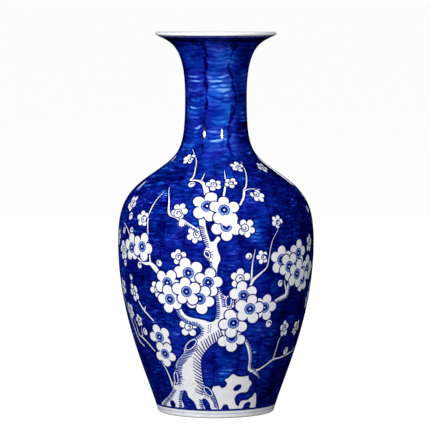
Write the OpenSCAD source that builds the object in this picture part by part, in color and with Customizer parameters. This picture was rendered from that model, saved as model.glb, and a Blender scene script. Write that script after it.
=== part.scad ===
// Baluster vase with a trumpet mouth, in porcelain.
// The pot is thrown in sections, and the sections are luted (stuck with slip) on seats
// that slope across the wall, so that each one centres itself on the one below.
// Z points up, and the origin is the centre of the foot's resting edge.

/* [Overall] */
// Height from the foot's resting edge to the top of the lip
vase_h = 360; // [300:5:440]
// Widest diameter of the lip
mouth_d = 115; // [105:1:130]
// Narrowest diameter of the neck
neck_d = 58.5; // [50:0.5:68]
// Widest diameter of the belly
belly_d = 186; // [170:1:200]
// Diameter of the foot, measured as if its outer edge were sharp
foot_d = 110; // [100:1:120]

/* [Walls] */
// Wall at the foot; it thins evenly along the outline up to the lip
foot_wall = 5.6; // [5:0.1:7]
// Thickness of the lip, which is fully rounded
lip_t = 2.8; // [2:0.1:4]
// Thickness of the base
base_t = 5.6; // [4:0.1:7]

/* [Foot] */
// Height of the white foot band, up to the first painted line
band_h = 7.2; // [6:0.1:9]
// Depth of the recess under the base
recess_h = 4.8; // [3:0.1:5]
// Width of the foot ring at the recess
ring_w = 8; // [6:0.1:9]
// Radius of the foot's outer edge
foot_round = 2.4; // [1:0.1:3]

/* [Sections] */
// Height of the luted joint at the belly, as a share of the vase's height
belly_joint = 0.4514; // [0.4:0.001:0.48]
// Height of the luted joint under the neck, as a share of the vase's height
neck_joint = 0.692; // [0.68:0.001:0.72]
// Height of the luted joint under the mouth, as a share of the vase's height
mouth_joint = 0.938; // [0.92:0.001:0.95]
// How far each seat rises from the outer face to the inner one
seat_rise = 2.4; // [0:0.1:3]

/* [Hidden] */
$fn = 128;

GLAZED_WHITE = [0.93, 0.94, 0.95];
BARE_PORCELAIN = [0.88, 0.86, 0.82];
COBALT = [0.07, 0.16, 0.55];

foot_r = foot_d / 2;
belly_r = belly_d / 2;
neck_r = neck_d / 2;
shoulder_r = neck_r + 0.54 * (belly_r - neck_r);

// The lip is a half circle, which joins the wall's two faces where they lean outwards at lip_lean.
lip_lean = 61;
lip_r = lip_t / 2;
lip_centre = [mouth_d / 2 - lip_r, vase_h - lip_r];
lip_start = lip_centre + lip_r * [cos(lip_lean), -sin(lip_lean)];

// The outline's knots: [radius, height, outward lean from the vertical, handle below, handle above].
// The handles are the lengths of the Bezier arms on each side of the knot.
knots = [
    [foot_r,       0,              16,       0,              0.108 * vase_h],
    [belly_r,      0.4514 * vase_h, 0,       0.203 * vase_h, 0.0958 * vase_h],
    [shoulder_r,   0.622 * vase_h, -54.5,    0.0694 * vase_h, 0.1 * vase_h],
    [neck_r,       0.832 * vase_h, 0,        0.153 * vase_h, 0.142 * vase_h],
    [lip_start[0], lip_start[1],   lip_lean, 0.0375 * vase_h, 0]
];
u_lip = len(knots) - 1;   // the outline's parameter u runs from 0 at the foot to this at the lip

function lean_dir(a) = [sin(a), cos(a)];
function knot_at(i) = [knots[i][0], knots[i][1]];
function arm(i, length) = length * lean_dir(knots[i][2]);

// The four Bezier points of the stretch from knot i to the next.
function stretch(i) = [
    knot_at(i),
    knot_at(i) + arm(i, knots[i][4]),
    knot_at(i + 1) - arm(i + 1, knots[i + 1][3]),
    knot_at(i + 1)
];
function bezier(p, t) =
    pow(1 - t, 3) * p[0] + 3 * pow(1 - t, 2) * t * p[1] + 3 * (1 - t) * t * t * p[2] + pow(t, 3) * p[3];
function bezier_slope(p, t) =
    3 * pow(1 - t, 2) * (p[1] - p[0]) + 6 * (1 - t) * t * (p[2] - p[1]) + 3 * t * t * (p[3] - p[2]);

function stretch_no(u) = min(floor(u), u_lip - 1);
function outer(u) = bezier(stretch(stretch_no(u)), u - stretch_no(u));
function heading(u) =
    let (s = bezier_slope(stretch(stretch_no(u)), u - stretch_no(u)))
    s / norm(s);
function wall_at(u) = foot_wall + (lip_t - foot_wall) * u / u_lip;
function inner(u) = outer(u) + wall_at(u) * [-heading(u)[1], heading(u)[0]];

// The outline's parameter at a height, by halving; the outer face rises all the way.
function u_at(z, low = 0, high = u_lip, halvings = 24) =
    let (mid = (low + high) / 2)
    halvings == 0 ? mid
    : outer(mid)[1] < z ? u_at(z, mid, high, halvings - 1)
    : u_at(z, low, mid, halvings - 1);

// Points along the outer or inner face between two parameters, both ends included.
face_step = 0.02;
function outer_run(a, b) =
    let (n = ceil(abs(b - a) / face_step))
    [for (i = [0:n]) outer(a + (b - a) * i / n)];
function inner_run(a, b) =
    let (n = ceil(abs(b - a) / face_step))
    [for (i = [0:n]) inner(a + (b - a) * i / n)];
function arc(centre, r, from, to, n = 12) =
    [for (i = [0:n]) let (a = from + (to - from) * i / n) centre + r * [cos(a), sin(a)]];

// Where the sections meet, on the outer face and on the inner face.
u_band = u_at(band_h);
u_belly = u_at(belly_joint * vase_h);
u_belly_in = u_at(belly_joint * vase_h + seat_rise);
u_neck = u_at(neck_joint * vase_h);
u_neck_in = u_at(neck_joint * vase_h + seat_rise);
u_mouth = u_at(mouth_joint * vase_h);
u_mouth_in = u_at(mouth_joint * vase_h + seat_rise);

// The foot.
base_top = recess_h + base_t;
foot_edge = outer(u_at(foot_round));
ring_inner_r = outer(u_band)[0] - ring_w;
base_r = ring_inner_r + 2.5;    // the base's edge rests on a ledge this wide
ring_round = 1.2;               // radius of the foot ring's inner edge
cove_top = base_top + 6;        // where the inside's rounded corner reaches the wall

module turned(points) {
    rotate_extrude() polygon(points);
}

module foot_ring() {
    color(BARE_PORCELAIN) turned(concat(
        arc([ring_inner_r + ring_round, ring_round], ring_round, 180, 270, 6),
        arc([foot_edge[0] - foot_round, foot_round], foot_round, -90, 0, 8),
        outer_run(u_at(foot_round + 0.6), u_band),
        [[base_r, band_h], [base_r, recess_h], [ring_inner_r, recess_h]]
    ));
}

module base_disc() {
    color(GLAZED_WHITE) translate([0, 0, recess_h]) cylinder(h = base_t, r = base_r);
}

// The inside's rounded corner, from the wall down to the base.
function cove() =
    let (top = inner(u_at(cove_top)), corner = [top[0] - 1.2, base_top])
    [for (i = [0:8]) bezier([top, [corner[0], base_top + 2.4], corner, [base_r, base_top]], i / 8)];

module lower_body() {
    color(COBALT) turned(concat(
        outer_run(u_band, u_belly),
        inner_run(u_belly_in, u_at(cove_top) + face_step),
        cove(),
        [[base_r, band_h]]
    ));
}

module upper_body() {
    color(COBALT) turned(concat(
        outer_run(u_belly, u_neck),
        inner_run(u_neck_in, u_belly_in)
    ));
}

module neck() {
    color(COBALT) turned(concat(
        outer_run(u_neck, u_mouth),
        inner_run(u_mouth_in, u_neck_in)
    ));
}

module mouth_rim() {
    color(GLAZED_WHITE) turned(concat(
        outer_run(u_mouth, u_lip - face_step),
        arc(lip_centre, lip_r, lip_lean - 90, lip_lean + 90),
        inner_run(u_lip - face_step, u_mouth_in)
    ));
}

foot_ring();
base_disc();
lower_body();
upper_body();
neck();
mouth_rim();
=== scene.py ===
"""The porcelain vase's looks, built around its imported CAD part.

Each section of the pot is a closed turned shell. Its outer face is cut along the painted outlines, so that
each petal, twig and line is a set of faces with a paint of its own. The brushed cobalt between is a shader.

Lengths are in millimetres and angles in degrees until a mesh is made. A place on the pot is an angle and a
height. Angle 0 faces -Y, where the trunk is, and angles grow to the right, towards +X.
"""
import math
import random

import bpy
import numpy as np
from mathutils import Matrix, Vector
from mathutils.geometry import delaunay_2d_cdt


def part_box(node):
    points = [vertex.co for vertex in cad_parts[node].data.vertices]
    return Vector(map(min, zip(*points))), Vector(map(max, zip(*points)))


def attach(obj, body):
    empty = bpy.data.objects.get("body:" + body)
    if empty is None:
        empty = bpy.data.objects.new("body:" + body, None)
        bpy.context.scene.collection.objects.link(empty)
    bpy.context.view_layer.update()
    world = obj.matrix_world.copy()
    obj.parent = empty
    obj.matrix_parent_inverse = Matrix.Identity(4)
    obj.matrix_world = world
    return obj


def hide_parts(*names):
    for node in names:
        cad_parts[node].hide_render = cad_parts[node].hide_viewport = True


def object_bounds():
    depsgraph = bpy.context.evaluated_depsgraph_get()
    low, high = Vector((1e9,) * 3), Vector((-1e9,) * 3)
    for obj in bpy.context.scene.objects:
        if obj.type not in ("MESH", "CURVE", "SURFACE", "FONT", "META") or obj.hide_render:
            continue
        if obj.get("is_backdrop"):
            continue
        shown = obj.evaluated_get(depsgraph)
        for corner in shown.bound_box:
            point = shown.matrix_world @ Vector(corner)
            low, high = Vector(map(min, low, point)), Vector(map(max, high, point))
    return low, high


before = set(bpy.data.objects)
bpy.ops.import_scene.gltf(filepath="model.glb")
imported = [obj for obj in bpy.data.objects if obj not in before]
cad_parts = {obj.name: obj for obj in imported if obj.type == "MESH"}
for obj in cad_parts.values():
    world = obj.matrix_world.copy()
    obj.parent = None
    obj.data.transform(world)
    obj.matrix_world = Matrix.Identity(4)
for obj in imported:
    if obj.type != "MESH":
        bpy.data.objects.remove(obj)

cad_low, cad_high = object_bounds()
MM = 0.001

# ---------------- the pot's outline, as in the CAD

POT_H = cad_high.z / MM
BELLY_R = cad_high.x / MM
MOUTH_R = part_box("mouth_rim")[1].x / MM
NECK_R = 29.25
FOOT_R = 55
SHOULDER_R = NECK_R + 0.54 * (BELLY_R - NECK_R)
FOOT_WALL = 5.6
LIP_T = 2.8
LIP_LEAN = 61
SEAT_RISE = 2.4

BAND_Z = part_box("foot_ring")[1].z / MM
BELLY_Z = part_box("upper_body")[0].z / MM
NECK_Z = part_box("neck")[0].z / MM
MOUTH_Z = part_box("mouth_rim")[0].z / MM
RECESS_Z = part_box("base_disc")[0].z / MM
BASE_TOP_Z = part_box("base_disc")[1].z / MM
BASE_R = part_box("base_disc")[1].x / MM
COVE_H = 6              # how far above the base the inside's rounded corner reaches the wall
COVE_STEPS = 8
FOOT_ROUND = 2.4        # radius of the foot's outer edge
RING_ROUND = 1.2        # radius of the foot's inner edge
FOOT_RING_W = 8         # width of the foot ring at the recess
BARE_OUTSIDE_Z = 0.9    # how high the clay is bare outside the foot
BARE_INSIDE_Z = 2.5     # and inside it
FOOT_LINE_Z = (4.3, 4.9)    # between these heights lies the pale line round the foot
LIP_STEPS = 14
LIP_LINE = (78, 112)    # the directions from the lip's centre between which its pale line lies


def sin(degrees):
    return math.sin(math.radians(degrees))


def cos(degrees):
    return math.cos(math.radians(degrees))


LIP_R = LIP_T / 2
LIP_CENTRE = (MOUTH_R - LIP_R, POT_H - LIP_R)
LIP_START = (LIP_CENTRE[0] + LIP_R * cos(LIP_LEAN), LIP_CENTRE[1] - LIP_R * sin(LIP_LEAN))

# radius, height, outward lean, and the Bezier arms' lengths below and above, as shares of the pot's height
KNOTS = [
    (FOOT_R, 0, 16, 0, 0.108),
    (BELLY_R, 0.4514 * POT_H, 0, 0.203, 0.0958),
    (SHOULDER_R, 0.622 * POT_H, -54.5, 0.0694, 0.1),
    (NECK_R, 0.832 * POT_H, 0, 0.153, 0.142),
    (LIP_START[0], LIP_START[1], LIP_LEAN, 0.0375, 0),
]
SAMPLES = 1000   # of each stretch of the outline between two knots


def stretch_points(low, high):
    """Points and headings along the outline from one knot to the next."""
    def arm(knot, share):
        return np.array([sin(knot[2]), cos(knot[2])]) * share * POT_H
    p0, p3 = np.array(low[:2]), np.array(high[:2])
    p1, p2 = p0 + arm(low, low[4]), p3 - arm(high, high[3])
    t = np.linspace(0, 1, SAMPLES + 1)[:, None]
    points = (1 - t) ** 3 * p0 + 3 * (1 - t) ** 2 * t * p1 + 3 * (1 - t) * t * t * p2 + t ** 3 * p3
    slopes = (1 - t) ** 2 * (p1 - p0) + 2 * (1 - t) * t * (p2 - p1) + t * t * (p3 - p2)
    return points, slopes / np.linalg.norm(slopes, axis=1)[:, None]


stretches = [stretch_points(a, b) for a, b in zip(KNOTS, KNOTS[1:])]
OUTER = np.concatenate([stretches[0][0]] + [p[1:] for p, _ in stretches[1:]])
HEADING = np.concatenate([stretches[0][1]] + [h[1:] for _, h in stretches[1:]])
LENGTH = np.concatenate([[0], np.cumsum(np.linalg.norm(np.diff(OUTER, axis=0), axis=1))])
WALL = FOOT_WALL + (LIP_T - FOOT_WALL) * np.linspace(0, 1, len(OUTER))
INNER = OUTER + WALL[:, None] * np.column_stack([-HEADING[:, 1], HEADING[:, 0]])


def at_length(table, length):
    """A value along the outline, by its length from the foot."""
    return np.interp(length, LENGTH, table)


def length_at(height, table=OUTER):
    """The outline's length at which its outer (or inner) face is at this height."""
    return float(np.interp(height, table[:, 1], LENGTH))


def radius_at(length):
    return float(at_length(OUTER[:, 0], length))


def around(radius, height, angle):
    return (radius * sin(angle), -radius * cos(angle), height)


# ---------------- the painting, as flat shapes on the sheet

WASH, DEEP, INK, WHITE, STAMENS, BRUSH, SOFT, PALE, BARE = range(9)   # the paints
SEAM = 128           # the angle where the painting is cut open; only wash lies there
SHEET_R = 70         # the unrolled sheet is as wide as a cylinder of this radius
LINE = 1.25          # width of the dark outlines
RING_W = 0.95        # width of the ring round a cup
POOL = 1.9           # how far the cobalt pools darkly round what is left white
EDGE_STEP = 2.2      # longest edge of a painted outline
TURN_STEP = 1.5      # degrees between points on a line round the pot, and on the sheet's grid
TURNS = int(360 / TURN_STEP)

dice = random.Random(7)
pools = []           # shapes that lie under all the others
shapes = []          # (paint, [(angle, length), ...], spot or None), in painter's order


class Spot:
    """A place on the pot, round which shapes are drawn in millimetres: x to the right, y up the surface."""

    def __init__(self, angle, height, turn=0, size=1):
        self.angle, self.length, self.turn, self.size = angle, length_at(height), turn, size

    def on_pot(self, x, y):
        across = (x * cos(self.turn) - y * sin(self.turn)) * self.size
        length = self.length + (x * sin(self.turn) + y * cos(self.turn)) * self.size
        return self.angle + math.degrees(across / radius_at(length)), length

    def local(self, angle, length):
        """The x and y of a point of the pot, as a share of the spot's size."""
        across = math.radians(angle - self.angle) * radius_at(length)
        up = length - self.length
        return ((across * cos(self.turn) + up * sin(self.turn)) / self.size,
                (up * cos(self.turn) - across * sin(self.turn)) / self.size)


def area_of(outline):
    """Twice the area inside a closed outline, above 0 if it runs anticlockwise."""
    return sum(a[0] * b[1] - b[0] * a[1] for a, b in zip(outline, outline[1:] + outline[:1]))


def fill(paint, outline, spot=None):
    """Adds a shape whose outline is in angles and lengths. It is kept anticlockwise, as the cutting needs."""
    layer = pools if paint == DEEP else shapes
    layer.append((paint, outline if area_of(outline) > 0 else outline[::-1], spot))


def fill_at(spot, paint, outline):
    fill(paint, [spot.on_pot(x, y) for x, y in outline], spot)


def layers(pool=1, line=1):
    """What a white shape is built up from: each paint, and how far its edge stands out from the shape's."""
    return (DEEP, POOL * pool), (INK, LINE * line), (WHITE, 0)


def ellipse(rx, ry, tilt=0, steps=20):
    turns = [360 * i / steps for i in range(steps)]
    return [(rx * cos(a) * cos(tilt) - ry * sin(a) * sin(tilt),
             rx * cos(a) * sin(tilt) + ry * sin(a) * cos(tilt)) for a in turns]


def on_heights(knots):
    """Given (angle, height, ...) knots with each height turned into a length."""
    return [(k[0], length_at(k[1]), *k[2:]) for k in knots]


def smooth_path(knots, step=EDGE_STEP):
    """A Catmull-Rom curve through knots of any number of values, the first two an angle and a length."""
    points = [np.array(k, float) for k in knots]
    points = [2 * points[0] - points[1]] + points + [2 * points[-1] - points[-2]]
    path = []
    for a, b, c, d in zip(points, points[1:], points[2:], points[3:]):
        across = math.radians(c[0] - b[0]) * radius_at(b[1])
        steps = max(1, round(math.hypot(across, c[1] - b[1]) / step))
        for i in range(steps):
            t = i / steps
            path.append(0.5 * (2 * b + (c - a) * t + (2 * a - 5 * b + 4 * c - d) * t * t
                               + (3 * b - a - 3 * c + d) * t ** 3))
    return path + [points[-2]]


def direction(path, i):
    """The way a path runs at its i-th point, on the surface, and the millimetres in a degree there."""
    before, after = path[max(i - 1, 0)], path[min(i + 1, len(path) - 1)]
    scale = math.radians(1) * radius_at(path[i][1])
    along = np.array([(after[0] - before[0]) * scale, after[1] - before[1]])
    return along / (np.linalg.norm(along) or 1), scale


def sides(path, grow=0):
    """The left and right edges of a stroke whose path holds an angle, a length and a half width."""
    left, right = [], []
    for i, (angle, length, half) in enumerate(path):
        along, scale = direction(path, i)
        reach = half + grow
        left.append((angle - along[1] * reach / scale, length + along[0] * reach))
        right.append((angle + along[1] * reach / scale, length - along[0] * reach))
    return left, right


def stroke(paint, path, grow=0):
    left, right = sides(path, grow)
    fill(paint, left + right[::-1])


def grown(outline, reach):
    """A closed outline of (angle, length) pushed outwards all round."""
    reach *= 1 if area_of(outline) > 0 else -1
    pushed = []
    for i, (angle, length) in enumerate(outline):
        around_it = [outline[i - 1], outline[i], outline[(i + 1) % len(outline)]]
        along, scale = direction(around_it, 1)
        pushed.append((angle + along[1] * reach / scale, length - along[0] * reach))
    return pushed


def blob(places):
    """A white shape through given angles and heights, with softened corners and a dark outline."""
    step = 1.6
    knots = on_heights(places)
    closed = [knots[-1]] + knots + knots[:2]
    path = smooth_path(closed, step)
    start = len(smooth_path(closed[:2], step)) - 1
    end = len(path) - len(smooth_path(closed[-2:], step)) + 1
    outline = [tuple(p) for p in path[start:end - 1]]
    for paint, grow in layers():
        fill(paint, grown(outline, grow))


def flower_outline(petals, core, grow=0, steps=13):
    """A round of petals, each a disc (direction, distance, radius), drawn as one lobed outline."""
    outline = []
    turns = sorted(petals)
    for i, (turn, distance, radius) in enumerate(turns):
        before = turns[i - 1][0] - (360 if i == 0 else 0)
        after = turns[(i + 1) % len(turns)][0] + (360 if i == len(turns) - 1 else 0)
        start, end = (before + turn) / 2, (turn + after) / 2
        for k in range(steps):
            a = start + (end - start) * k / steps
            reach = core + grow
            for lobe, d, r in (turns[i - 1], turns[i], turns[(i + 1) % len(turns)]):
                off = d * sin(a - lobe)
                if cos(a - lobe) > 0 and abs(off) < r + grow:
                    reach = max(reach, d * cos(a - lobe) + math.sqrt((r + grow) ** 2 - off * off))
            outline.append((reach * cos(a), reach * sin(a)))
    return outline


def petals_round(radius, turn, distance, size, unevenness, spread=72):
    """Five petal discs round a flower's middle, spread this many degrees apart."""
    petals = []
    for i in range(5):
        a = turn + spread * (i - 2) + dice.uniform(-5, 5)
        stretch = dice.uniform(1 - unevenness, 1 + unevenness)
        petal_r = size * radius * dice.uniform(0.96, 1.04) * stretch
        petals.append((a % 360, distance * radius * stretch, petal_r))
    return petals


def blossom(angle, height, radius, turn=90):
    """An open flower seen from the front: five round petals round a haloed eye."""
    spot = Spot(angle, height)
    petals = petals_round(radius, turn, 0.635, 0.362, 0.05)
    for paint, grow in layers():
        fill_at(spot, paint, flower_outline(petals, 0.44 * radius, grow))
    eye = Spot(angle, height, dice.uniform(0, 360), 0.4 * radius)
    fill_at(eye, STAMENS, ellipse(1, 1, steps=28))
    fill_at(spot, WHITE, ellipse(0.062 * radius, 0.062 * radius, steps=8))


def curl(spot, radius, width, turns, start, drop=0):
    """A comma that winds inwards and thickens, from a flower's cup to its middle, drop below the spot."""
    steps = 12
    path = []
    for i in range(steps + 1):
        share = i / steps
        reach = radius * (1 - 0.85 * share)
        way = start + 360 * turns * share
        angle, length = spot.on_pot(reach * cos(way), reach * sin(way) - drop)
        path.append((angle, length, width * (0.25 + 0.25 * share)))
    stroke(INK, path)


def small_blossom(angle, height, radius, turn=90, squeeze=1, lean=0, cup=0.48):
    """A flower seen from behind: small petals round a cup with a curled line in it.

    One seen from the side leans: its petals fan out towards turn, and its cup lies back by lean radii."""
    spot = Spot(angle, height, turn - 90)
    petals = petals_round(radius, 90, 0.66, 0.35 - 0.1 * lean, 0.06, 72 - 24 * lean)
    cup, drop = cup * radius, lean * radius

    def pressed(outline, lower=0):
        return [(x, y * squeeze - lower) for x, y in outline]
    for paint, grow in layers(0.8, 0.85):
        fill_at(spot, paint, pressed(flower_outline(petals, 0.45 * radius, grow)))
    for paint, reach in ((INK, cup), (WHITE, cup - RING_W)):
        fill_at(spot, paint, pressed(ellipse(reach, reach), drop))
    curl(spot, 0.66 * cup, 1.6, 0.7, dice.uniform(-90, 30), drop)


def bud(angle, height, radius, turn=90):
    spot = Spot(angle, height, turn - 90)
    for paint, grow in layers(0.7):
        fill_at(spot, paint, ellipse(0.9 * radius + grow, radius + grow))
    curl(spot, 0.75 * radius, 1.7, 0.55, dice.uniform(-60, 60))


def knot_hole(angle, height, rx, ry, tilt):
    """A hollow in the trunk: a dark oval in a white rim."""
    spot = Spot(angle, height)
    for paint, smaller in ((INK, -0.9), (WHITE, 0), (INK, 0.8), (WASH, 2.2)):
        if min(rx, ry) - smaller > 0.3:
            fill_at(spot, paint, ellipse(rx - smaller, ry - smaller, tilt))


def bristles(angle, height, rx, ry, tilt, start, end, reach, spacing=1.7):
    """Short strokes that stand out from a knot hole's rim between two directions."""
    spot = Spot(angle, height)
    steps = round(math.radians(end - start) * (rx + ry) / 2 / spacing)
    for i in range(steps + 1):
        a = start + (end - start) * i / steps
        outwards = math.hypot(rx * sin(a - tilt), ry * cos(a - tilt)) or 1
        edge = rx * ry / outwards + 0.6
        far = edge + reach * dice.uniform(0.8, 1.1)
        widths = ((edge, 0.5), ((edge + far) / 2, 0.45), (far, 0.3))
        stroke(BRUSH, [(*spot.on_pot(r * cos(a), r * sin(a)), w) for r, w in widths])


def bark_marks(angle, height, rows):
    """Two columns of small dashes on the bark."""
    spot = Spot(angle, height)
    for row in range(rows):
        for side in (-1.1, 1.1):
            x, y = side + row * 0.25, row * 2.3 + side * 0.5
            stroke(INK, [(*spot.on_pot(x - 0.6, y + 0.4), 0.4), (*spot.on_pot(x + 0.6, y - 0.3), 0.6)])


def twig(knots):
    path = smooth_path(on_heights(knots))
    for paint, grow in layers(0.8, 0.6):
        stroke(paint, path, grow)


def limbs(paths):
    """Trunk and branches: all their outlines first, so that where they join no line crosses the wood."""
    smooth = [smooth_path(on_heights(p)) for p in paths]
    for paint, grow in layers():
        for path in smooth:
            stroke(paint, path, grow)


def hatch(edge, reach, spacing, leans, paint, thick):
    """Strokes that shade a limb from one edge inwards; the wood is on the right of the edge's way.

    They lean back from square to the edge by the first of leans at its start and by the second at its end.
    The spacing is from stroke to stroke, square to them, and thick is a stroke's half width at its root."""
    path = smooth_path(on_heights(edge), 0.4)
    walked = 0
    for i in range(1, len(path) - 1):
        along, scale = direction(path, i)
        walked += math.hypot((path[i][0] - path[i - 1][0]) * scale, path[i][1] - path[i - 1][1])
        lean = leans[0] + (leans[1] - leans[0]) * i / len(path)
        if walked < spacing / cos(lean):
            continue
        walked -= spacing / cos(lean) * dice.uniform(0.95, 1.05)
        square = np.array([along[1], -along[0]])
        tip = (square * cos(lean) - along * sin(lean)) * reach * dice.uniform(0.88, 1.08)
        line = []
        for share in (0, 1 / 3, 2 / 3, 1):
            place = (path[i][0] + tip[0] * share / scale, path[i][1] + tip[1] * share)
            line.append((*place, thick * (1 - 0.35 * share)))
        stroke(paint, line)


def shade(edge, reach, leans):
    """A soft blue band along an edge of the wood, with darker strokes over it."""
    hatch(edge, reach * 0.85, 0.8, leans, SOFT, 0.62)
    hatch(edge, reach, 1.75, leans, BRUSH, 0.64)


# ---------------- what is painted: the front

TREE = [   # the trunk and its main limbs, clockwise from the left root
    (-61, 9), (-55, 14), (-46, 19.5), (-39.5, 26), (-37, 31), (-35, 38), (-32.5, 46), (-30, 53), (-27, 58),
    (-22.5, 64), (-22, 69), (-17.5, 75.5), (-13, 79.5), (-10, 83), (-9, 87), (-11.5, 90.5), (-16, 92),
    (-20.5, 95), (-23.5, 100), (-25, 107), (-22.5, 109), (-20, 102), (-16.5, 98.5), (-8, 96), (-3.5, 94),
    (-0.5, 96), (0.5, 102), (0.5, 111), (-0.5, 122), (-2, 134), (-3, 145), (-3.5, 151), (-6, 155),
    (-7, 160), (-5.5, 164), (-7, 170), (-8, 176), (-9.5, 185), (-10, 193), (-6.5, 192), (-6, 184),
    (-4.5, 175), (-3, 169), (-1, 170), (1, 174), (2.5, 171.5), (0.5, 167), (1, 161), (2.5, 153.5), (1, 147),
    (0.5, 140), (1, 132), (2, 127), (3.5, 121.5), (5.5, 118.5), (8.5, 119.5), (11, 115.5), (11, 109),
    (6, 104.5), (5, 99), (8, 92), (8, 86), (5, 80), (1.5, 77), (-2.5, 73), (-5.5, 69), (-8, 65),
    (-10.5, 59), (-11, 53), (-11, 45), (-10.5, 37), (-9, 32), (-5.5, 29.5), (-3, 25), (-1, 20), (0.5, 15),
    (1.5, 9), (-4, 9), (-5.5, 14.5), (-8, 18.5), (-10.5, 20), (-12.5, 18), (-12, 14), (-10, 9), (-17, 9),
    (-19, 14.5), (-21.5, 18), (-24.5, 21), (-25.5, 26), (-28.5, 27), (-30.5, 23), (-32, 17), (-33, 9),
]
TRUNK_RIGHT = [
    (6, 81.5), (1.5, 77), (-2.5, 73), (-5.5, 69), (-8, 65), (-10, 59), (-11, 53), (-11, 45), (-10.5, 38),
    (-9, 32),
]
TRUNK_FOOT = [(-10, 33.5), (-10.5, 30), (-11, 26.5), (-11, 22.5)]
TRUNK_LEFT = [(-36.5, 30), (-34.5, 38), (-32, 46), (-29.5, 53), (-26.5, 58), (-22, 64), (-19, 68)]
SHADED_EDGES = [   # each with the strokes' length and lean; the wood is on the right of its way
    ([(-60, 9.5), (-57, 11.5), (-50, 16.5), (-44, 20.5), (-38.5, 27)], 4.2, (-20, -30)),
    ([(-28, 27), (-30, 22.5), (-32, 17), (-33, 9.5)], 3.8, (-20, -20)),
    ([(-12, 19), (-12, 14), (-10.5, 9)], 3.6, (20, 20)),
    ([(-3, 25), (-1, 19.5), (0.5, 15), (1, 9.5)], 4, (20, 40)),
    ([(-18, 75.5), (-13, 79.5), (-10, 83), (-9.5, 87), (-11.5, 90.5), (-16, 92), (-20.5, 95), (-23.5, 100),
      (-25, 107)], 3.2, (-10, -30)),
    ([(-0.5, 96), (0.5, 102), (0.5, 111), (-0.5, 122)], 3.2, (-10, -20)),
    ([(-2.5, 139), (-3, 145), (-3.5, 151)], 2.4, (-10, -10)),
]
UPPER_LIMB_LEFT = [(-5.5, 163), (-7, 170), (-8, 176), (-9.5, 185)]
RIGHT_LIMB_RIGHT = [(1, 130), (2, 127), (3.5, 122), (5, 117), (5.5, 113), (6, 108)]
KNOT_BRISTLES = [   # round each knot hole on the front: first and last direction, and the strokes' length
    (-130, 0, 2.6), (-70, 80, 5.8), (150, 290, 3), (-60, 60, 2), (-100, 60, 2.6),
]
ROCK = [
    (-3, 29), (0.5, 32), (3, 32), (4.5, 30), (7, 30.5), (9, 33.5), (8.5, 36), (7, 38), (10, 40), (13, 43.5),
    (17, 41), (21.5, 40.5), (26, 41), (26.5, 38), (30, 34), (28.5, 29.5), (27, 25.5), (21, 25),
    (17.5, 22.5), (16.5, 18.5), (18, 14), (21, 11.5), (23, 16.5), (29.5, 17), (31, 18.5), (33.5, 20),
    (35.5, 23.5), (37.5, 21), (39.5, 9), (33.5, 9), (33, 14.5), (29, 15), (26.5, 13), (24.5, 9), (13.5, 9),
    (11, 13), (8.5, 14), (6, 12.5), (4.5, 9), (-3, 9),
]
ROCK_HOLE = (18, 30, 4.5, 3, 38)
ROOT_PIT = (-43.5, 12, 3.5, 4, 0)
FRONT_KNOT_HOLES = [
    (-17, 72, 7.5, 3.5, 44), (-33, 38.5, 2.5, 6.5, -6), (-6.5, 26.5, 6, 3, -55), (7.5, 113.5, 3, 5.5, 0),
    (-5, 157.5, 3.5, 2.5, -55),
]
RIGHT_BRANCH = [
    (35.5, 109.5, 1.2), (41.5, 113.5, 2), (46.5, 116, 2.4), (47.5, 121.5, 2.3), (48.5, 127.5, 2),
]
LEFT_BRANCH = [
    (-52, 152, 0.6), (-48, 148, 0.9), (-44.5, 146.5, 1.2), (-41, 147, 1.5), (-38, 143.5, 2.4),
    (-35, 138.5, 1.9),
]
LOW_BRANCH = [
    (19, 78, 1.1), (22.5, 70, 1.7), (25, 60.5, 1.6), (25.5, 53, 1.2), (26, 48, 1.8), (30, 45.5, 2),
    (33.5, 42, 1.2), (37, 37.5, 0.4),
]
TOP_BRANCH = [
    (-22, 223.5, 1), (-16.5, 223.5, 0.9), (-12.5, 222.5, 1.2), (-9, 220, 1.9), (-7, 215.5, 2.4),
    (-6, 210, 2.3),
]
LONG_BRANCH = [
    (-36.5, 217, 0.2), (-31.5, 206, 0.6), (-29, 194, 1), (-25, 191.5, 1), (-20.5, 188.5, 1.3),
    (-15.5, 184, 1.3), (-9, 178, 1.4),
]
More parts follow.
